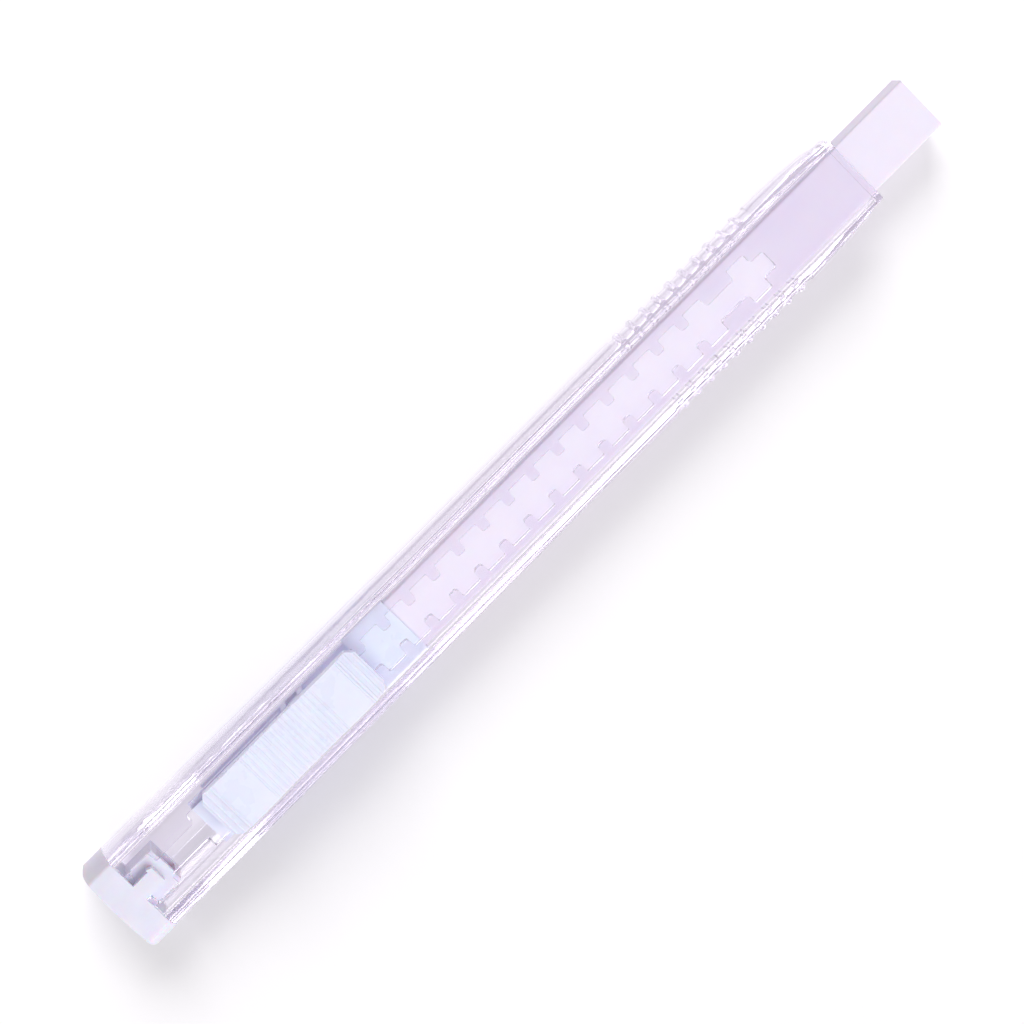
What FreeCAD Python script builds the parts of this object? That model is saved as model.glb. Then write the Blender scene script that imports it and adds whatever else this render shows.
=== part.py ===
import FreeCAD, Part
import math
import os

# A slim slide-out stick eraser, in millimetres. A clear case, closed at the rear by a snap-in cap,
# holds a carrier that grips a rectangular stick of eraser. A ribbed thumb slider rides in a ladder slot in
# the case's top wall; a lug on it drops into the slot's notches and holds the stick where it is.
#
# While it is built, x = 0 is the rear of the end cap and +X points to the eraser's tip, y = 0 is the
# middle and z = 0 is the flat bottom. Every piece is then moved back by half the overall length, so
# that the origin is on the resting face, under the middle of the whole object.

# ---- Eraser stick -----------------------------------------------------------------------------
ERASER_WIDTH = 7.0
ERASER_THICK = 5.0
ERASER_EDGE_R = 0.25         # softened long edges
ERASER_SHOWING = 10.9        # sticks out of the mouth with the slider at the rear

# ---- Case -------------------------------------------------------------------------------------
CASE_REAR_X = 3.65           # the case starts here, in front of the cap's flange
CASE_LENGTH = 115.55
SIDE_WALL = 1.6              # at mid height, just behind the nose
SIDE_BOW = 1.0               # the sides bow out by this much between the top and bottom corners
TOP_WALL = 1.4
BOTTOM_WALL = 1.2
REAR_FLARE = 0.8             # added to the width at the rear end
NOSE_LENGTH = 14.2
MOUTH_DROP = 1.85            # taken off the width at the mouth
MOUTH_FLAT_DROP = 0.9        # taken off the flat top and bottom there
CORNER_R = 0.5
FLAT_TRIM = 0.01             # the form is made this much too tall above and below, then trimmed flat
SECTION_SPACING = 25.0       # between the outlines that the outer form is drawn through, at most
OVERSHOOT = 0.5              # cutters pass right through the faces they open
MOUTH_BAND = 2.1             # plain band round the mouth
BAND_STEP = 0.1              # the band stands in by this much
MOUTH_LIP = 0.7              # wall across the front, with the opening that guides the eraser
CAVITY_CORNER_R = 0.5
FLOOR_GROOVE_WIDTH = 2.0     # shallow guide groove along the cavity's floor
FLOOR_GROOVE_DEPTH = 0.3

# ---- Ladder slot in the top wall --------------------------------------------------------------
PITCH = 4.0                  # notch to notch
TOOTH_LENGTH = 1.28          # between one notch and the next
NOTCH_WIDTH = 5.0
CHANNEL_WIDTH = 2.4
FIRST_NOTCH_X = 14.87        # middle of the rearmost notch
SLOT_TO_MOUTH = 13.5         # the slot ends at least this far behind the mouth
LAST_TOOTH_LENGTH = 4.3      # one long tooth, a last notch, then the slot's closed end
SLOT_END_LENGTH = 1.9
NOTCH_CORNER_R = 0.22
SNAP_NOTCH_INSET = 0.55      # from the case's rear to the notch that takes the cap's barbs
SNAP_NOTCH_LENGTH = 3.25

# ---- Grip on both sides -----------------------------------------------------------------------
GRIP_TO_MOUTH = 11.9         # plain nose in front of the grip
GRIP_DEPTH = 0.17            # the grip is let into the side by this much
RIB_COUNT = 10
RIB_PITCH = 2.085
RIB_FRONT_MARGIN = 1.735     # middle of the front rib to the grip's front end
RIB_REAR_MARGIN = 1.2
RIB_R = 0.48
RIB_HEIGHT = 0.3             # above the recess
RIB_END_GAP = 0.7            # from the top and bottom faces

# ---- Thumb slider: its lug sits in the rearmost notch, and the rest is placed from the lug ------
LUG_LENGTH = 1.67
LUG_SHORT = 0.1              # the lug stands up into its notch by this much less than the press
PRESS_TRAVEL = 0.7           # down to free the lug
LATCH_PLATE_OVERLAP = 0.6    # on each side of the notches
LATCH_PLATE_THICK = 0.9
LATCH_PLATE_LENGTH = 14.65
NECK_AHEAD = 0.34            # from the lug's front to the neck's rear
NECK_LENGTH = 16.3
PEG_BEHIND_FRONT = 0.9       # from the peg's front to the neck's front
PEG_LENGTH = 1.6
PEG_WIDTH = 5.0
PAD_OVERHANG = 0.46          # behind the neck
PAD_LENGTH = 24.4
PAD_COVER = 0.75             # on each side of the notches
PAD_CORNER = 0.9
CREST_HEIGHT = 3.0           # above the case's top face
END_HEIGHT = 2.05            # at the front and rear edges
DISH_DEPTH = 0.45            # of the hollow between the crests
CREST_BOW = 0.12
REAR_SLOPE_LENGTH = 2.5
REAR_CREST_LENGTH = 3.9
FRONT_SLOPE_LENGTH = 2.4
FRONT_CREST_LENGTH = 3.8
DISH_RIB_COUNT = 16
END_RIB_COUNT = 3
PAD_RIB_R = 0.19
PAD_RIB_RISE = 0.11
FRONT_RIDGE_RISE = 0.16

# ---- Carrier ----------------------------------------------------------------------------------
SPINE_TRAIL = 0.1            # the spine ends this far behind the neck's rear
SPINE_WIDTH = 5.6
SPINE_THICK = 0.9
CROSS_RIB = 0.8              # two ribs that hold the slider's peg between them
BLOCK_AHEAD = 7.2            # from the neck's front to the block's rear
BLOCK_LENGTH = 6.4
BLOCK_BACK_WALL = 0.9
SOCKET_ROOF = 0.35           # over and under the eraser
SOCKET_CHEEK = 0.575         # on each side of it
KEEL_LENGTH = 12.0           # runs in the case's floor groove
TONGUE_WIDTH = 3.0           # springy tongue under the latch plate
TONGUE_THICK = 0.6
TONGUE_LENGTH = 10.0
TONGUE_INSET = 1.1           # from the spine's rear to the tongue's tip

# ---- End cap ----------------------------------------------------------------------------------
CAP_DOME = 0.25              # the rear face bows out by this much
CAP_CORNER_R = 0.75
INSERT_WIDTH = 4.85
INSERT_LENGTH = 4.2
INSERT_WALL = 0.9
CAP_TONGUE_LENGTH = 2.95
BARB_LENGTH = 0.7
BARB_RISE = 0.3

# ---- Clearances -------------------------------------------------------------------------------
MOUTH_GAP = 0.15             # eraser to mouth, each side
SOCKET_GAP = 0.025           # eraser to carrier socket, each side
ERASER_END_GAP = 0.3         # eraser's end to the socket's back wall
CARRIER_GAP = 0.1            # carrier to cavity, each side
NECK_GAP = 0.2               # neck to slot, each side
LUG_GAP = 0.07               # lug to notch, each side
LATCH_GAP = 0.1              # latch plate to the top wall
PRESS_GAP = 0.1              # left under a part that is pressed right down
PEG_GAP = 0.1
CAP_GAP = 0.1                # cap insert to cavity and notch
CAP_SEAT_GAP = 0.05          # hairline joint between the cap's flange and the case
TONGUE_GAP = 0.15            # cap tongue to slot, each side

# ---- Worked out: heights and widths -------------------------------------------------------------
CARRIER_HEIGHT = ERASER_THICK + 2 * (SOCKET_GAP + SOCKET_ROOF)
CAVITY_TOP = BOTTOM_WALL + CARRIER_HEIGHT + 2 * CARRIER_GAP
HEIGHT = CAVITY_TOP + TOP_WALL
ERASER_Z = BOTTOM_WALL + CARRIER_GAP + SOCKET_ROOF + SOCKET_GAP
PAD_UNDER_Z = HEIGHT + PRESS_TRAVEL + PRESS_GAP
LATCH_TOP_Z = CAVITY_TOP - LATCH_GAP
LATCH_BOTTOM_Z = LATCH_TOP_Z - LATCH_PLATE_THICK
SPINE_TOP_Z = BOTTOM_WALL + CARRIER_GAP + SPINE_THICK
CARRIER_WIDTH = ERASER_WIDTH + 2 * (SOCKET_GAP + SOCKET_CHEEK)
CAVITY_WIDTH = CARRIER_WIDTH + 2 * CARRIER_GAP
CASE_WIDTH = CAVITY_WIDTH + 2 * SIDE_WALL
FLAT_WIDTH = CASE_WIDTH - 2 * SIDE_BOW
PAD_WIDTH = NOTCH_WIDTH + 2 * PAD_COVER

# ---- Worked out: places along the case ----------------------------------------------------------
CASE_FRONT_X = CASE_REAR_X + CASE_LENGTH
NOSE_X = CASE_FRONT_X - NOSE_LENGTH
ERASER_TIP_X = CASE_FRONT_X + ERASER_SHOWING
ORIGIN_X = ERASER_TIP_X / 2
NOTCH_LENGTH = PITCH - TOOTH_LENGTH
TOOTH_TIP_R = 0.3 * TOOTH_LENGTH
SLOT_TAIL = LAST_TOOTH_LENGTH + NOTCH_LENGTH + SLOT_END_LENGTH
SLOT_ROOM = CASE_FRONT_X - SLOT_TO_MOUTH - SLOT_TAIL - NOTCH_LENGTH / 2 - FIRST_NOTCH_X
NOTCH_COUNT = math.floor(SLOT_ROOM / PITCH) + 1
LAST_TOOTH_X = FIRST_NOTCH_X + (NOTCH_COUNT - 1) * PITCH + NOTCH_LENGTH / 2
SLOT_FRONT_X = LAST_TOOTH_X + SLOT_TAIL
SNAP_NOTCH_X = CASE_REAR_X + SNAP_NOTCH_INSET
GRIP_FRONT_X = CASE_FRONT_X - GRIP_TO_MOUTH
FIRST_RIB_X = GRIP_FRONT_X - RIB_FRONT_MARGIN - (RIB_COUNT - 1) * RIB_PITCH
GRIP_REAR_X = FIRST_RIB_X - RIB_REAR_MARGIN
LUG_FRONT_X = FIRST_NOTCH_X + NOTCH_LENGTH / 2 - LUG_GAP
NECK_REAR_X = LUG_FRONT_X + NECK_AHEAD
NECK_FRONT_X = NECK_REAR_X + NECK_LENGTH
PEG_REAR_X = NECK_FRONT_X - PEG_BEHIND_FRONT - PEG_LENGTH
PAD_REAR_X = NECK_REAR_X - PAD_OVERHANG
PAD_FRONT_X = PAD_REAR_X + PAD_LENGTH
SPINE_REAR_X = NECK_REAR_X - SPINE_TRAIL
BLOCK_REAR_X = NECK_FRONT_X + BLOCK_AHEAD
BLOCK_FRONT_X = BLOCK_REAR_X + BLOCK_LENGTH
SOCKET_REAR_X = BLOCK_REAR_X + BLOCK_BACK_WALL
ERASER_REAR_X = SOCKET_REAR_X + ERASER_END_GAP

# the slider stops a whole number of notches forward, before the neck meets the slot's end and
# before the block meets the mouth's lip
BLOCK_ROOM = CASE_FRONT_X - MOUTH_LIP - BLOCK_FRONT_X
NECK_ROOM = SLOT_FRONT_X - NECK_FRONT_X
TRAVEL = PITCH * math.floor(min(BLOCK_ROOM, NECK_ROOM) / PITCH)


def block(x0, x1, half_width, z0, z1):
    """A box from x0 to x1, centred on y = 0."""
    corner = FreeCAD.Vector(x0, -half_width, z0)
    return Part.makeBox(x1 - x0, 2 * half_width, z1 - z0, corner)


def fillet_where(shape, radius, wanted):
    """Rounds the edges that the test picks out."""
    return shape.makeFillet(radius, [edge for edge in shape.Edges if wanted(edge)])


def runs_along(edge, axis):
    """True where a straight edge runs along the named axis."""
    box = edge.BoundBox
    lengths = {"x": box.XLength, "y": box.YLength, "z": box.ZLength}
    others = [value for name, value in lengths.items() if name != axis]
    return lengths[axis] > 1e-3 and max(others) < 1e-6


def side_circle(half_mid, half_flat):
    """Radius and centre of the arc that a side follows, from half the widest and half the flat width."""
    bow = half_mid - half_flat
    radius = (bow ** 2 + (HEIGHT / 2) ** 2) / (2 * bow)
    return radius, half_mid - radius


def section(x, half_mid, half_flat):
    """The case's outline at x: flat top and bottom, bowed sides, and small rounded corners."""
    half_height = HEIGHT / 2 + FLAT_TRIM
    side_r, side_y = side_circle(half_mid, half_flat)
    rise = half_height - CORNER_R
    corner_y = side_y + math.sqrt((side_r - CORNER_R) ** 2 - rise ** 2)
    angle = math.atan2(rise, corner_y - side_y)
    meet_y = side_y + side_r * math.cos(angle)
    meet_z = side_r * math.sin(angle)
    half_turn = (angle + math.pi / 2) / 2
    bulge_y = corner_y + CORNER_R * math.cos(half_turn)
    bulge_z = rise + CORNER_R * math.sin(half_turn)

    def point(y, z):
        return FreeCAD.Vector(x, y, z + HEIGHT / 2)

    def arc(start, middle, end):
        return Part.Arc(point(*start), point(*middle), point(*end)).toShape()

    return Part.Wire([
        Part.makeLine(point(-corner_y, half_height), point(corner_y, half_height)),
        arc((corner_y, half_height), (bulge_y, bulge_z), (meet_y, meet_z)),
        arc((meet_y, meet_z), (half_mid, 0), (meet_y, -meet_z)),
        arc((meet_y, -meet_z), (bulge_y, -bulge_z), (corner_y, -half_height)),
        Part.makeLine(point(corner_y, -half_height), point(-corner_y, -half_height)),
        arc((-corner_y, -half_height), (-bulge_y, -bulge_z), (-meet_y, -meet_z)),
        arc((-meet_y, -meet_z), (-half_mid, 0), (-meet_y, meet_z)),
        arc((-meet_y, meet_z), (-bulge_y, bulge_z), (-corner_y, half_height)),
    ])


def half_widths(x):
    """Half the widest width and half the flat at x: flared to the rear, drawn in along the nose."""
    if x < NOSE_X:
        share = (NOSE_X - x) / (NOSE_X - CASE_REAR_X)
        return (CASE_WIDTH + REAR_FLARE * share ** 2) / 2, FLAT_WIDTH / 2
    share = (x - NOSE_X) / NOSE_LENGTH
    return (CASE_WIDTH - MOUTH_DROP * share ** 2) / 2, (FLAT_WIDTH - MOUTH_FLAT_DROP * share ** 2) / 2


def outer_form(x0, x1, inset=0.0):
    """The solid outer form of the case from x0 to x1, drawn in by inset at its sides."""
    stops = [x0] + [NOSE_X] * (x0 < NOSE_X < x1) + [x1]
    lofts = []
    for start, end in zip(stops, stops[1:]):
        steps = 2 + math.ceil((end - start) / SECTION_SPACING)
        wires = []
        for i in range(steps + 1):
            x = start + (end - start) * i / steps
            half_mid, half_flat = half_widths(x)
            wires.append(section(x, half_mid - inset, half_flat - inset / 2))
        lofts.append(Part.makeLoft(wires, True, False))
    form = lofts[0].fuse(lofts[1:]) if lofts[1:] else lofts[0]
    return form.common(block(x0, x1, CASE_WIDTH, 0, HEIGHT))


def ladder_slot():
    """The slot cutter: a narrow channel with square notches, rounded at the tooth tips."""
    z0 = CAVITY_TOP - OVERSHOOT
    z1 = HEIGHT + OVERSHOOT
    half_notch = NOTCH_WIDTH / 2
    half_channel = CHANNEL_WIDTH / 2
    cutter = block(CASE_REAR_X - OVERSHOOT, SLOT_FRONT_X, half_channel, z0, z1)
    starts = [FIRST_NOTCH_X + i * PITCH - NOTCH_LENGTH / 2 for i in range(NOTCH_COUNT)]
    starts.append(LAST_TOOTH_X + LAST_TOOTH_LENGTH)
    notches = [block(start, start + NOTCH_LENGTH, half_notch, z0, z1) for start in starts]
    notches.append(block(SNAP_NOTCH_X, SNAP_NOTCH_X + SNAP_NOTCH_LENGTH, half_notch, z0, z1))
    cutter = cutter.fuse(notches).removeSplitter()

    def upright_at(half_width):
        return lambda edge: (
            runs_along(edge, "z")
            and abs(abs(edge.CenterOfMass.y) - half_width) < 1e-4
            and edge.CenterOfMass.x > CASE_REAR_X
        )

    cutter = fillet_where(cutter, TOOTH_TIP_R, upright_at(half_channel))
    return fillet_where(cutter, NOTCH_CORNER_R, upright_at(half_notch))


def grip_rib(x, side):
    """One half-round rib that follows the bowed side of the grip recess."""
    half_mid, half_flat = half_widths(x)
    half_mid -= GRIP_DEPTH
    side_r, side_y = side_circle(half_mid, half_flat - GRIP_DEPTH / 2)
    ring = Part.makeTorus(side_r + RIB_HEIGHT - RIB_R, RIB_R, FreeCAD.Vector(x, side * side_y, HEIGHT / 2),
                          FreeCAD.Vector(1, 0, 0))
    # only the stretch on this side is kept, from inside the wall outwards
    inner_y = half_mid - SIDE_BOW - RIB_HEIGHT
    reach = Part.makeBox(2 * RIB_R, CASE_WIDTH, HEIGHT - 2 * RIB_END_GAP,
                         FreeCAD.Vector(x - RIB_R, inner_y, RIB_END_GAP))
    if side < 0:
        reach = reach.mirror(FreeCAD.Vector(0, 0, 0), FreeCAD.Vector(0, 1, 0))
    return ring.common(reach)


def make_case():
    band_x = CASE_FRONT_X - MOUTH_BAND
    band = outer_form(band_x, CASE_FRONT_X, BAND_STEP)
    band = band.common(block(band_x, CASE_FRONT_X, CASE_WIDTH, BAND_STEP / 2, HEIGHT - BAND_STEP / 2))
    recessed = outer_form(GRIP_REAR_X, GRIP_FRONT_X, GRIP_DEPTH)
    ribs = [
        grip_rib(FIRST_RIB_X + i * RIB_PITCH, side)
        for i in range(RIB_COUNT)
        for side in (-1, 1)
    ]
    rear = outer_form(CASE_REAR_X, GRIP_REAR_X)
    nose = outer_form(GRIP_FRONT_X, band_x)
    form = rear.fuse([recessed, nose, band] + ribs).removeSplitter()

    cavity = block(CASE_REAR_X - OVERSHOOT, CASE_FRONT_X - MOUTH_LIP, CAVITY_WIDTH / 2,
                   BOTTOM_WALL, CAVITY_TOP)
    cavity = fillet_where(cavity, CAVITY_CORNER_R, lambda edge: runs_along(edge, "x"))
    groove = block(CASE_REAR_X - OVERSHOOT, BLOCK_FRONT_X + TRAVEL, FLOOR_GROOVE_WIDTH / 2,
                   BOTTOM_WALL - FLOOR_GROOVE_DEPTH, BOTTOM_WALL + OVERSHOOT)
    mouth = block(CASE_FRONT_X - MOUTH_LIP - OVERSHOOT, CASE_FRONT_X + OVERSHOOT,
                  ERASER_WIDTH / 2 + MOUTH_GAP, ERASER_Z - MOUTH_GAP, ERASER_Z + ERASER_THICK + MOUTH_GAP)
    return form.cut([cavity, groove, mouth, ladder_slot()])


def make_end_cap():
    seat_x = CASE_REAR_X - CAP_SEAT_GAP
    half_mid, half_flat = half_widths(CASE_REAR_X)
    flange = Part.Face(section(0, half_mid, half_flat)).extrude(FreeCAD.Vector(seat_x, 0, 0))

    def point(x, y):
        return FreeCAD.Vector(x, y, 0)

    # the rear face is a shallow arc across the width, with rounded upright corners
    plan = Part.Wire([
        Part.makeLine(point(seat_x, -half_mid), point(CAP_DOME, -half_mid)),
        Part.Arc(point(CAP_DOME, -half_mid), point(0, 0), point(CAP_DOME, half_mid)).toShape(),
        Part.makeLine(point(CAP_DOME, half_mid), point(seat_x, half_mid)),
        Part.makeLine(point(seat_x, half_mid), point(seat_x, -half_mid)),
    ])
    outline = Part.Face(plan).extrude(FreeCAD.Vector(0, 0, HEIGHT))
    outline = fillet_where(
        outline, CAP_CORNER_R,
        lambda edge: runs_along(edge, "z") and edge.CenterOfMass.x < seat_x / 2)
    flange = flange.common(outline)

    insert_end = CASE_REAR_X + INSERT_LENGTH
    insert_top = CAVITY_TOP - CAP_GAP
    insert = block(seat_x, insert_end, INSERT_WIDTH / 2, BOTTOM_WALL + CAP_GAP, insert_top)
    hollow = block(CASE_REAR_X + INSERT_WALL, insert_end + OVERSHOOT, INSERT_WIDTH / 2 - INSERT_WALL,
                   BOTTOM_WALL + CAP_GAP + INSERT_WALL, insert_top - INSERT_WALL)
    insert = insert.cut(hollow)

    half_tongue = CHANNEL_WIDTH / 2 - TONGUE_GAP
    tongue_end = CASE_REAR_X + CAP_TONGUE_LENGTH
    tongue = block(seat_x, tongue_end, half_tongue, insert_top - INSERT_WALL / 2, HEIGHT)
    barb_x = tongue_end - BARB_LENGTH
    barb_plan = Part.makePolygon([
        point(barb_x, -half_tongue - BARB_RISE),
        point(barb_x, half_tongue + BARB_RISE),
        point(tongue_end, half_tongue),
        point(tongue_end, -half_tongue),
        point(barb_x, -half_tongue - BARB_RISE),
    ])
    barbs = Part.Face(barb_plan).extrude(FreeCAD.Vector(0, 0, HEIGHT - insert_top))
    barbs.translate(FreeCAD.Vector(0, 0, insert_top))
    return flange.fuse([insert, tongue, barbs]).removeSplitter()


def make_eraser_stick():
    stick = block(ERASER_REAR_X, ERASER_TIP_X, ERASER_WIDTH / 2, ERASER_Z, ERASER_Z + ERASER_THICK)
    return fillet_where(stick, ERASER_EDGE_R, lambda edge: runs_along(edge, "x"))


def make_carrier():
    floor_z = BOTTOM_WALL + CARRIER_GAP
    grip = block(BLOCK_REAR_X, BLOCK_FRONT_X, CARRIER_WIDTH / 2, floor_z, floor_z + CARRIER_HEIGHT)
    grip = fillet_where(grip, CAVITY_CORNER_R, lambda edge: runs_along(edge, "x"))
    socket = block(SOCKET_REAR_X, BLOCK_FRONT_X + OVERSHOOT, ERASER_WIDTH / 2 + SOCKET_GAP,
                   ERASER_Z - SOCKET_GAP, ERASER_Z + ERASER_THICK + SOCKET_GAP)
    grip = grip.cut(socket)

    spine = block(SPINE_REAR_X, SOCKET_REAR_X, SPINE_WIDTH / 2, floor_z, SPINE_TOP_Z)
    rib_top = LATCH_BOTTOM_Z - PRESS_TRAVEL - PRESS_GAP
    rear_rib_x = PEG_REAR_X - PEG_GAP - CROSS_RIB
    front_rib_x = PEG_REAR_X + PEG_LENGTH + PEG_GAP
    ribs = [
        block(x, x + CROSS_RIB, SPINE_WIDTH / 2, floor_z, rib_top)
        for x in (rear_rib_x, front_rib_x)
    ]
    keel = block(BLOCK_REAR_X - KEEL_LENGTH, BLOCK_REAR_X, FLOOR_GROOVE_WIDTH / 2 - CARRIER_GAP,
                 BOTTOM_WALL - FLOOR_GROOVE_DEPTH + CARRIER_GAP, SPINE_TOP_Z)

    # the springy tongue rises from the spine towards the rear, drawn where a full press leaves it
    tip_x = SPINE_REAR_X + TONGUE_INSET
    root_x = tip_x + TONGUE_LENGTH
    corners = [
        (root_x, SPINE_TOP_Z - SPINE_THICK / 2),
        (root_x, SPINE_TOP_Z + TONGUE_THICK / 2),
        (tip_x, rib_top),
        (tip_x, rib_top - TONGUE_THICK),
        (root_x, SPINE_TOP_Z - SPINE_THICK / 2),
    ]
    profile = Part.makePolygon([FreeCAD.Vector(x, -TONGUE_WIDTH / 2, z) for x, z in corners])
    tongue = Part.Face(profile).extrude(FreeCAD.Vector(0, TONGUE_WIDTH, 0))
    return grip.fuse([spine, keel, tongue] + ribs).removeSplitter()


def make_thumb_slider():
    crest_z = HEIGHT + CREST_HEIGHT
    end_z = HEIGHT + END_HEIGHT
    rear_top = PAD_REAR_X + REAR_SLOPE_LENGTH
    dish_rear = rear_top + REAR_CREST_LENGTH
    front_top = PAD_FRONT_X - FRONT_SLOPE_LENGTH
    dish_front = front_top - FRONT_CREST_LENGTH
    dish_mid = (dish_rear + dish_front) / 2
    dish_span = dish_front - dish_rear

    def point(x, z):
        return FreeCAD.Vector(x, -PAD_WIDTH / 2, z)

    def arc(x0, x1, rise):
        """A shallow arc from x0 to x1 at crest height, bowed up by rise."""
        middle = point((x0 + x1) / 2, crest_z + rise)
        return Part.Arc(point(x0, crest_z), middle, point(x1, crest_z)).toShape()

    # side outline: sloped ends, two crests and a hollow between them
    outline = Part.Wire([
        Part.makeLine(point(PAD_REAR_X, PAD_UNDER_Z), point(PAD_REAR_X, end_z)),
        Part.makeLine(point(PAD_REAR_X, end_z), point(rear_top, crest_z)),
        arc(rear_top, dish_rear, CREST_BOW),
        arc(dish_rear, dish_front, -DISH_DEPTH),
        arc(dish_front, front_top, CREST_BOW),
        Part.makeLine(point(front_top, crest_z), point(PAD_FRONT_X, end_z)),
        Part.makeLine(point(PAD_FRONT_X, end_z), point(PAD_FRONT_X, PAD_UNDER_Z)),
        Part.makeLine(point(PAD_FRONT_X, PAD_UNDER_Z), point(PAD_REAR_X, PAD_UNDER_Z)),
    ])
    pad = Part.Face(outline).extrude(FreeCAD.Vector(0, PAD_WIDTH, 0))

    # fine ribs across: in the hollow, on both end slopes, and one ridge by the front crest
    dish_r = (dish_span ** 2 / 4 + DISH_DEPTH ** 2) / (2 * DISH_DEPTH)
    rib_tops = []
    for i in range(DISH_RIB_COUNT):
        x = dish_rear + dish_span * (i + 0.5) / DISH_RIB_COUNT
        sag = dish_r - math.sqrt(dish_r ** 2 - (x - dish_mid) ** 2)
        rib_tops.append((x, crest_z - DISH_DEPTH + sag + PAD_RIB_RISE))
    for i in range(END_RIB_COUNT):
        share = (i + 0.5) / END_RIB_COUNT
        top = crest_z - (crest_z - end_z) * share + PAD_RIB_RISE
        rib_tops.append((rear_top - REAR_SLOPE_LENGTH * share, top))
        rib_tops.append((front_top + FRONT_SLOPE_LENGTH * share, top))
    rib_tops.append((front_top, crest_z + FRONT_RIDGE_RISE))
    across = FreeCAD.Vector(0, 1, 0)
    pad = pad.fuse([
        Part.makeCylinder(PAD_RIB_R, PAD_WIDTH, point(x, top - PAD_RIB_R), across)
        for x, top in rib_tops
    ])
    plan = block(PAD_REAR_X, PAD_FRONT_X, PAD_WIDTH / 2, HEIGHT, HEIGHT + 2 * CREST_HEIGHT)
    plan = plan.makeChamfer(PAD_CORNER, [edge for edge in plan.Edges if runs_along(edge, "z")])
    pad = pad.common(plan)

    neck = block(NECK_REAR_X, NECK_FRONT_X, CHANNEL_WIDTH / 2 - NECK_GAP, LATCH_BOTTOM_Z, PAD_UNDER_Z)
    lug_rear = LUG_FRONT_X - LUG_LENGTH
    lug_top = CAVITY_TOP + PRESS_TRAVEL - LUG_SHORT
    lug = block(lug_rear, LUG_FRONT_X, NOTCH_WIDTH / 2 - LUG_GAP, LATCH_TOP_Z, lug_top)
    lug = fillet_where(lug, NOTCH_CORNER_R, lambda edge: runs_along(edge, "z"))
    plate = block(lug_rear, lug_rear + LATCH_PLATE_LENGTH, NOTCH_WIDTH / 2 + LATCH_PLATE_OVERLAP,
                  LATCH_BOTTOM_Z, LATCH_TOP_Z)
    peg = block(PEG_REAR_X, PEG_REAR_X + PEG_LENGTH, PEG_WIDTH / 2,
                SPINE_TOP_Z + PRESS_TRAVEL + PRESS_GAP, LATCH_TOP_Z)
    return pad.fuse([neck, plate, lug, peg]).removeSplitter()


nodes = {
    "case": make_case,
    "end_cap": make_end_cap,
    "carrier": make_carrier,
    "thumb_slider": make_thumb_slider,
    "eraser_stick": make_eraser_stick,
}

os.makedirs("parts", exist_ok=True)
for name, make in nodes.items():
    shape = make()
    shape.translate(FreeCAD.Vector(-ORIGIN_X, 0, 0))
    shape.exportStep(f"parts/{name}.step")
    box = shape.BoundBox
    print(f"{name}: {len(shape.Solids)} solid, valid {shape.isValid()}, {shape.Volume:.1f} mm3, "
          f"{box.XLength:.2f} x {box.YLength:.2f} x {box.ZLength:.2f}")
print(f"slider travel {TRAVEL:.1f} mm, press travel {PRESS_TRAVEL:.1f} mm, origin x {ORIGIN_X:.2f}")
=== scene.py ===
import math

import bpy
from mathutils import Matrix, Vector


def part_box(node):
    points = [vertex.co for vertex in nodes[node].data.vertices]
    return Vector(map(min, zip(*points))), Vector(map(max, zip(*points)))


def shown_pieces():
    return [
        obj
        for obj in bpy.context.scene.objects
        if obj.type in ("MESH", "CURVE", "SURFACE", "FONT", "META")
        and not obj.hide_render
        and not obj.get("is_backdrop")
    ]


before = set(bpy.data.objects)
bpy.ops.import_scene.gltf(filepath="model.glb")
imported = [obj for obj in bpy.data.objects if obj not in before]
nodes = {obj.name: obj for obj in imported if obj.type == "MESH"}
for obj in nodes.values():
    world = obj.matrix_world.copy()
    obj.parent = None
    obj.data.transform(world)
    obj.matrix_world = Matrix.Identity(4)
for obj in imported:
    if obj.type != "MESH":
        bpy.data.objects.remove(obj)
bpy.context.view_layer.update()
scene = bpy.context.scene

MM = 0.001

# ---- Stage sizes and settings -------------------------------------------------------------------
FLOOR_SIZE = 4.0                        # metres, far past the view on every side
FLOOR_DROP = 0.03 * MM                  # the floor lies this far under the flat bottom
FLOOR_GLOW = 0.29                       # emission everywhere, so that the floor reads as white
PAINTED_GLOW_HALF_WIDTH = 10 * MM               # the glow painted into the floor reaches this far either side of y = 0
# share of the way from -Y to +Y across that painted glow, and the emission that it adds there
PAINTED_GLOW_ACROSS = (
    (0.10, 0.0), (0.16, 0.32), (0.24, 0.32), (0.29, 0.0),
    (0.42, 0.05), (0.50, 0.25), (0.60, 0.20), (0.72, 0.0),
)
SKY_STRENGTH = 0.56
FLAG_SHARE = Vector((0.97, 0.76, 0.96))  # of the case's length, width and height
LAMP_AIM = Vector((-0.930, 0.550, 8.55)) * MM  # a point by the middle of the case's top face
KEY_SIZE = (0.86, 0.86)
LONG_BOX_SIZE = (0.8, 0.4)
CAMERA_LENS = 123.93
SENSOR_WIDTH = 36.0
CAMERA_NEAR = 0.01
CAMERA_PLACE = Vector((2.304, 65.308, 403.26)) * MM
CAMERA_TURN = (-9.32, 0.46, -45.2)      # degrees about X, Y and Z: tipped a little, and level with the case


# ---- Helpers ------------------------------------------------------------------------------------

def linear(hex_colour):
    """An sRGB hex colour as linear red, green, blue and 1."""
    values = [int(hex_colour[i:i + 2], 16) / 255 for i in (0, 2, 4)]
    return [v / 12.92 if v <= 0.04045 else ((v + 0.055) / 1.055) ** 2.4 for v in values] + [1.0]


def grey(value):
    """A linear colour with the same value in red, green and blue."""
    return [value] * 3 + [1.0]


def per(size_mm):
    """The noise scale whose patches are about this many millimetres across."""
    return 1 / (size_mm * MM)


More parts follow.
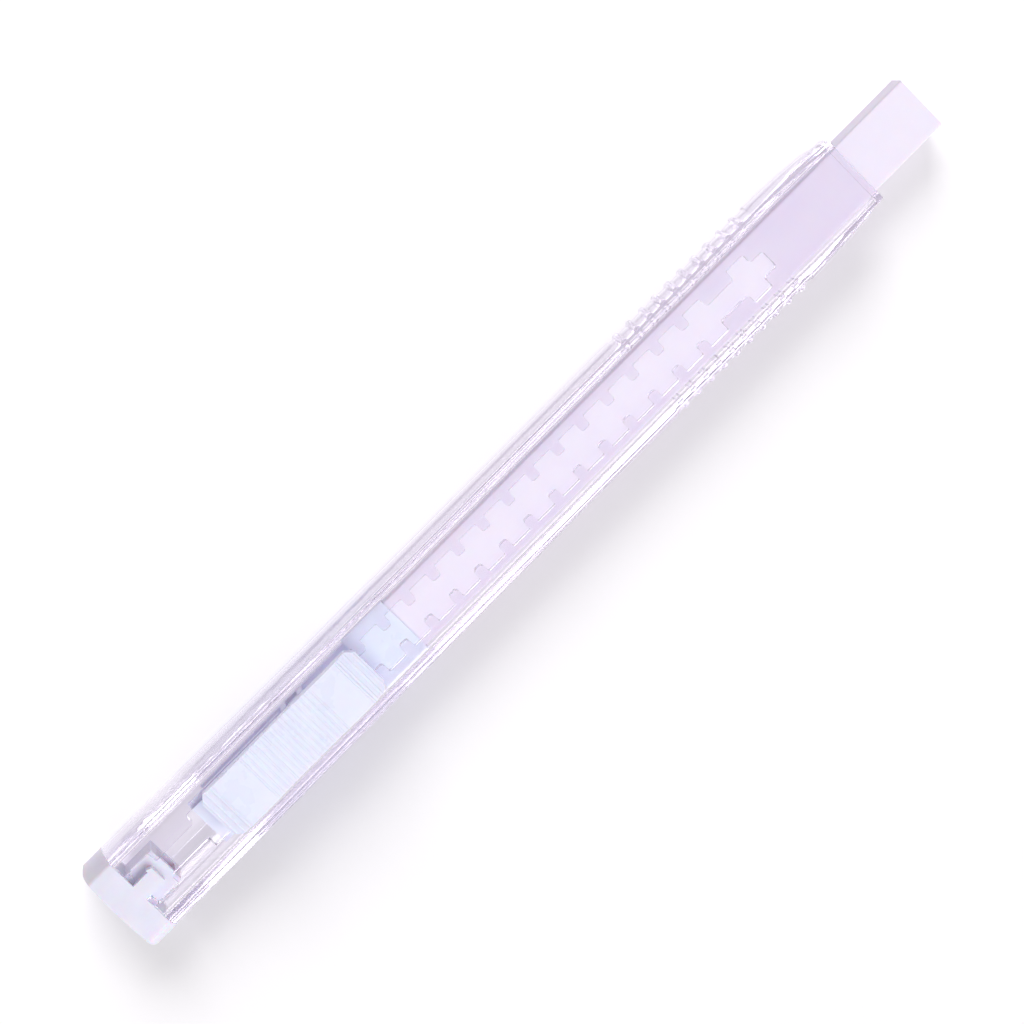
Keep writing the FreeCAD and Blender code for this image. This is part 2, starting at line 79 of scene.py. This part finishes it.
def new_material(name):
    """A material with an empty node tree, that tree, and its output node."""
    material = bpy.data.materials.new(name)
    material.use_nodes = True
    material.node_tree.nodes.clear()
    return material, material.node_tree, material.node_tree.nodes.new("ShaderNodeOutputMaterial")


def add(tree, kind, inputs=None, links=None, **settings):
    """Adds a node: its properties from settings, its socket values from inputs, its links from links."""
    node = tree.nodes.new(kind)
    for name, value in settings.items():
        setattr(node, name, value)
    for name, value in (inputs or {}).items():
        node.inputs[name].default_value = value
    for name, socket in (links or {}).items():
        tree.links.new(socket, node.inputs[name])
    return node


def ramp(node, stops):
    """Sets a colour ramp's stops from (place, colour) pairs."""
    elements = node.color_ramp.elements
    while len(elements) > 1:
        elements.remove(elements[-1])
    elements[0].position, elements[0].color = stops[0]
    for place, colour in stops[1:]:
        elements.new(place).color = colour
    return node


# ---- Materials ----------------------------------------------------------------------------------

def clear_styrene():
    """Clear styrene, injection moulded in a polished tool.

    It looks hard and bright with a faint cool tint, and very slightly wavy where the plastic flowed in
    along the case: the waves are long along X and narrow across it.
    """
    material, tree, out = new_material("clear_styrene_polished_mould")
    place = add(tree, "ShaderNodeTexCoord")
    along = add(tree, "ShaderNodeMapping", {"Scale": (per(33.3), per(3.33), per(3.33))},
                {"Vector": place.outputs["Object"]})
    flow = add(tree, "ShaderNodeTexNoise", {"Scale": 1.0, "Detail": 2.0}, {"Vector": along.outputs["Vector"]})
    tint = ramp(add(tree, "ShaderNodeValToRGB", links={"Fac": flow.outputs["Fac"]}),
                [(0.3, linear("FBF9FE")), (0.7, linear("FFFEFF"))])
    gloss = add(tree, "ShaderNodeMapRange", {"To Min": 0.04, "To Max": 0.10}, {"Value": flow.outputs["Fac"]})
    wave = add(tree, "ShaderNodeBump", {"Strength": 0.05, "Distance": 0.02 * MM},
               {"Height": flow.outputs["Fac"]})
    plastic = add(tree, "ShaderNodeBsdfPrincipled",
                  {"IOR": 1.55, "Transmission Weight": 1.0},
                  {"Base Color": tint.outputs["Color"], "Roughness": gloss.outputs["Result"],
                   "Normal": wave.outputs["Normal"]})
    # soft light and shadow rays go straight through, so the pieces inside the case are lit
    ray = add(tree, "ShaderNodeLightPath")
    let_through = add(tree, "ShaderNodeBsdfTransparent", {"Color": linear("FDFCFE")})
    soft = add(tree, "ShaderNodeMixShader", links={0: ray.outputs["Is Diffuse Ray"],
                                                   1: plastic.outputs["BSDF"],
                                                   2: let_through.outputs["BSDF"]})
    mix = add(tree, "ShaderNodeMixShader", links={0: ray.outputs["Is Shadow Ray"],
                                                  1: soft.outputs["Shader"],
                                                  2: let_through.outputs["BSDF"]})
    tree.links.new(mix.outputs["Shader"], out.inputs["Surface"])
    # a thick stretch of it, as seen down through a side wall, looks faintly smoky lavender
    smoke = add(tree, "ShaderNodeVolumeAbsorption", {"Color": (0.76, 0.73, 0.79, 1.0), "Density": 110.0})
    tree.links.new(smoke.outputs["Volume"], out.inputs["Volume"])
    return material


def milky_polypropylene():
    """Natural polypropylene with a little white in it, injection moulded.

    It looks milky and softly glossy, and light glows in its thin edges. The real skin's grain is finer
    than 0.11 mm and is drawn that coarse so that it shows.
    """
    material, tree, out = new_material("milky_polypropylene_moulded")
    place = add(tree, "ShaderNodeTexCoord")
    cloud = add(tree, "ShaderNodeTexNoise", {"Scale": per(2.857), "Detail": 3.0},
                {"Vector": place.outputs["Object"]})
    tint = ramp(add(tree, "ShaderNodeValToRGB", links={"Fac": cloud.outputs["Fac"]}),
                [(0.3, linear("DFDFEC")), (0.7, linear("E4E4F1"))])
    gloss = add(tree, "ShaderNodeMapRange", {"To Min": 0.26, "To Max": 0.38}, {"Value": cloud.outputs["Fac"]})
    grain = add(tree, "ShaderNodeTexNoise", {"Scale": per(0.1111), "Detail": 1.0},
                {"Vector": place.outputs["Object"]})
    skin = add(tree, "ShaderNodeBump", {"Strength": 0.12, "Distance": 0.01 * MM},
               {"Height": grain.outputs["Fac"]})
    plastic = add(tree, "ShaderNodeBsdfPrincipled",
                  {"IOR": 1.49, "Subsurface Weight": 0.6, "Subsurface Scale": 2.0 * MM},
                  {"Base Color": tint.outputs["Color"], "Roughness": gloss.outputs["Result"],
                   "Normal": skin.outputs["Normal"]})
    tree.links.new(plastic.outputs["BSDF"], out.inputs["Surface"])
    return material


def milky_blue_acetal():
    """Acetal tinted with a trace of blue, injection moulded.

    It looks waxy and pale periwinkle, with softly shifting gloss, and smoother than the cap.
    """
    material, tree, out = new_material("milky_blue_acetal_moulded")
    place = add(tree, "ShaderNodeTexCoord")
    cloud = add(tree, "ShaderNodeTexNoise", {"Scale": per(3.333), "Detail": 3.0},
                {"Vector": place.outputs["Object"]})
    tint = ramp(add(tree, "ShaderNodeValToRGB", links={"Fac": cloud.outputs["Fac"]}),
                [(0.2, linear("E1E4F7")), (0.8, linear("E6E9FA"))])
    gloss = add(tree, "ShaderNodeMapRange", {"To Min": 0.22, "To Max": 0.34}, {"Value": cloud.outputs["Fac"]})
    plastic = add(tree, "ShaderNodeBsdfPrincipled",
                  {"IOR": 1.48, "Subsurface Weight": 0.25, "Subsurface Scale": 1.0 * MM},
                  {"Base Color": tint.outputs["Color"], "Roughness": gloss.outputs["Result"]})
    tree.links.new(plastic.outputs["BSDF"], out.inputs["Surface"])
    return material


def vinyl_eraser():
    """White vinyl eraser, extruded and cut.

    It looks matt and a faint lavender white, with a powdery grain. The real powder is finer than
    0.17 mm and is drawn that coarse so that it shows.
    """
    material, tree, out = new_material("vinyl_eraser_extruded")
    place = add(tree, "ShaderNodeTexCoord")
    cloud = add(tree, "ShaderNodeTexNoise", {"Scale": per(4.545), "Detail": 4.0},
                {"Vector": place.outputs["Object"]})
    tint = ramp(add(tree, "ShaderNodeValToRGB", links={"Fac": cloud.outputs["Fac"]}),
                [(0.3, linear("EAE4F4")), (0.7, linear("EFE8F6"))])
    powder = add(tree, "ShaderNodeTexNoise", {"Scale": per(0.1667), "Detail": 2.0},
                 {"Vector": place.outputs["Object"]})
    skin = add(tree, "ShaderNodeBump", {"Strength": 0.25, "Distance": 0.02 * MM},
               {"Height": powder.outputs["Fac"]})
    gloss = add(tree, "ShaderNodeMapRange", {"To Min": 0.5, "To Max": 0.65}, {"Value": cloud.outputs["Fac"]})
    vinyl = add(tree, "ShaderNodeBsdfPrincipled",
                {"IOR": 1.5, "Subsurface Weight": 0.2, "Subsurface Scale": 1.0 * MM},
                {"Base Color": tint.outputs["Color"], "Roughness": gloss.outputs["Result"],
                 "Normal": skin.outputs["Normal"]})
    tree.links.new(vinyl.outputs["BSDF"], out.inputs["Surface"])
    return material


def opal_acrylic():
    """White opal acrylic, the top of a light table.

    It looks plain white. A glow painted into it shows only to light that has come through clear plastic,
    so the case stays bright underneath, brightest below its -Y wall: this is painted light, with no lamp
    under it.
    """
    material, tree, out = new_material("white_opal_acrylic_floor")
    place = add(tree, "ShaderNodeTexCoord")
    haze = add(tree, "ShaderNodeTexNoise", {"Scale": per(25), "Detail": 2.0},
               {"Vector": place.outputs["Object"]})
    tint = ramp(add(tree, "ShaderNodeValToRGB", links={"Fac": haze.outputs["Fac"]}),
                [(0.4, linear("F2F1F2")), (0.6, linear("F4F3F4"))])
    # painted light: a band of emission across Y, seen only through clear plastic, brightens the floor under
    # the case
    sides = add(tree, "ShaderNodeSeparateXYZ", links={"Vector": place.outputs["Object"]})
    across = add(tree, "ShaderNodeMapRange", {"From Min": -PAINTED_GLOW_HALF_WIDTH, "From Max": PAINTED_GLOW_HALF_WIDTH},
                 {"Value": sides.outputs["Y"]})
    painted_glow_band = ramp(add(tree, "ShaderNodeValToRGB", links={"Fac": across.outputs["Result"]}),
                 [(share, grey(strength)) for share, strength in PAINTED_GLOW_ACROSS])
    ray = add(tree, "ShaderNodeLightPath")
    painted_glow_through_plastic = add(tree, "ShaderNodeMath", links={0: painted_glow_band.outputs["Color"],
                                                    1: ray.outputs["Is Transmission Ray"]},
                     operation="MULTIPLY")
    glow = add(tree, "ShaderNodeMath", {1: FLOOR_GLOW}, {0: painted_glow_through_plastic.outputs[0]}, operation="ADD")
    acrylic = add(tree, "ShaderNodeBsdfPrincipled",
                  {"Roughness": 0.6, "Specular IOR Level": 0.1, "Emission Color": linear("FFFDFE")},
                  {"Base Color": tint.outputs["Color"], "Emission Strength": glow.outputs[0]})
    tree.links.new(acrylic.outputs["BSDF"], out.inputs["Surface"])
    return material


blue_acetal = milky_blue_acetal()
finishes = {
    "case": clear_styrene(),
    "end_cap": milky_polypropylene(),
    "carrier": blue_acetal,
    "thumb_slider": blue_acetal,
    "eraser_stick": vinyl_eraser(),
}
for name, material in finishes.items():
    for slot in nodes[name].material_slots:
        slot.material = material


# ---- Floor and sky ------------------------------------------------------------------------------

bpy.ops.object.select_all(action="DESELECT")
bpy.ops.mesh.primitive_plane_add(size=FLOOR_SIZE, location=(0, 0, -FLOOR_DROP))
floor = bpy.context.object
floor.name = "floor"
floor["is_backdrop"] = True
floor.data.materials.append(opal_acrylic())

# a white studio tent, a little darker towards +Y
world = bpy.data.worlds.new("studio")
scene.world = world
world.use_nodes = True
sky = world.node_tree
sky.nodes.clear()
toward = add(sky, "ShaderNodeTexCoord")
sides = add(sky, "ShaderNodeSeparateXYZ", links={"Vector": toward.outputs["Generated"]})
across = add(sky, "ShaderNodeMapRange", {"From Min": -1.0, "From Max": 1.0}, {"Value": sides.outputs["Y"]})
tent = ramp(add(sky, "ShaderNodeValToRGB", links={"Fac": across.outputs["Result"]}),
            [(0.0, linear("FFFFFF")), (0.5, linear("F0EEF2")), (1.0, linear("D0CCD4"))])
background = add(sky, "ShaderNodeBackground", {"Strength": SKY_STRENGTH}, {"Color": tent.outputs["Color"]})
add(sky, "ShaderNodeOutputWorld", links={"Surface": background.outputs["Background"]})
# sampled as a lamp, the tent's light would be stopped by the flag below
world.cycles.sampling_method = "NONE"


# ---- Lamps --------------------------------------------------------------------------------------

# A flag inside the case keeps the key off the floor below, so that the clear case draws a full shadow.
# It shows in no view and no reflection.
case_low, case_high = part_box("case")
bpy.ops.object.select_all(action="DESELECT")
bpy.ops.mesh.primitive_cube_add(size=1.0, location=(case_low + case_high) / 2)
flag = bpy.context.object
flag.name = "shadow_flag"
flag.scale = (case_high - case_low) * FLAG_SHARE
bpy.ops.object.transform_apply(location=True, scale=True)
flag.visible_camera = False
flag.visible_diffuse = False
flag.visible_glossy = False
flag.visible_transmission = False
flag.visible_volume_scatter = False
flag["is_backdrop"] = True


def collect(name, members):
    """A collection, outside the scene, that holds the given objects."""
    collection = bpy.data.collections.new(name)
    for member in members:
        collection.objects.link(member)
    return collection


def softbox(name, toward_lamp, distance, size, energy, lit, shaded_by):
    """An area lamp aimed at LAMP_AIM; it lights only the objects in lit, and only shaded_by stops it."""
    lamp = bpy.data.lights.new(name, "AREA")
    lamp.shape = "RECTANGLE"
    lamp.size, lamp.size_y = size
    lamp.energy = energy
    holder = bpy.data.objects.new(name, lamp)
    scene.collection.objects.link(holder)
    direction = Vector(toward_lamp).normalized()
    holder.location = LAMP_AIM + direction * distance
    holder.rotation_euler = direction.to_track_quat("Z", "Y").to_euler()
    holder.light_linking.receiver_collection = collect(name + "_lights", lit)
    holder.light_linking.blocker_collection = collect(name + "_is_stopped_by", shaded_by)


# a key on the +Y side draws the soft shadow on the floor and lights nothing else; a strong softbox
# overhead on the -Y side and a weak one on the +Y side light the object and not the floor
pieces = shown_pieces()
softbox("key_softbox", (4.5, 8.4, 7.8), 1.5, KEY_SIZE, 15.0, [floor], [flag] + pieces)
softbox("top_softbox", (0.0, -4.4, 7.5), 0.8, LONG_BOX_SIZE, 4.7, pieces, pieces)
softbox("fill_softbox", (0.0, 7.0, 6.0), 0.8, LONG_BOX_SIZE, 0.8, pieces, pieces)


# ---- Camera and light paths ---------------------------------------------------------------------

camera = bpy.data.cameras.new("camera")
camera.lens = CAMERA_LENS
camera.sensor_width = SENSOR_WIDTH
camera.clip_start = CAMERA_NEAR
camera_object = bpy.data.objects.new("camera", camera)
scene.collection.objects.link(camera_object)
about_x, about_y, about_z = (Matrix.Rotation(math.radians(degrees), 4, axis)
                             for degrees, axis in zip(CAMERA_TURN, "XYZ"))
camera_object.matrix_world = Matrix.Translation(CAMERA_PLACE) @ about_x @ about_y @ about_z
scene.camera = camera_object
scene.view_settings.view_transform = "Standard"

# light bounces many times inside thick clear walls before it comes out
scene.cycles.max_bounces = 32
scene.cycles.diffuse_bounces = 8
scene.cycles.glossy_bounces = 24
scene.cycles.transmission_bounces = 32
scene.cycles.transparent_max_bounces = 32
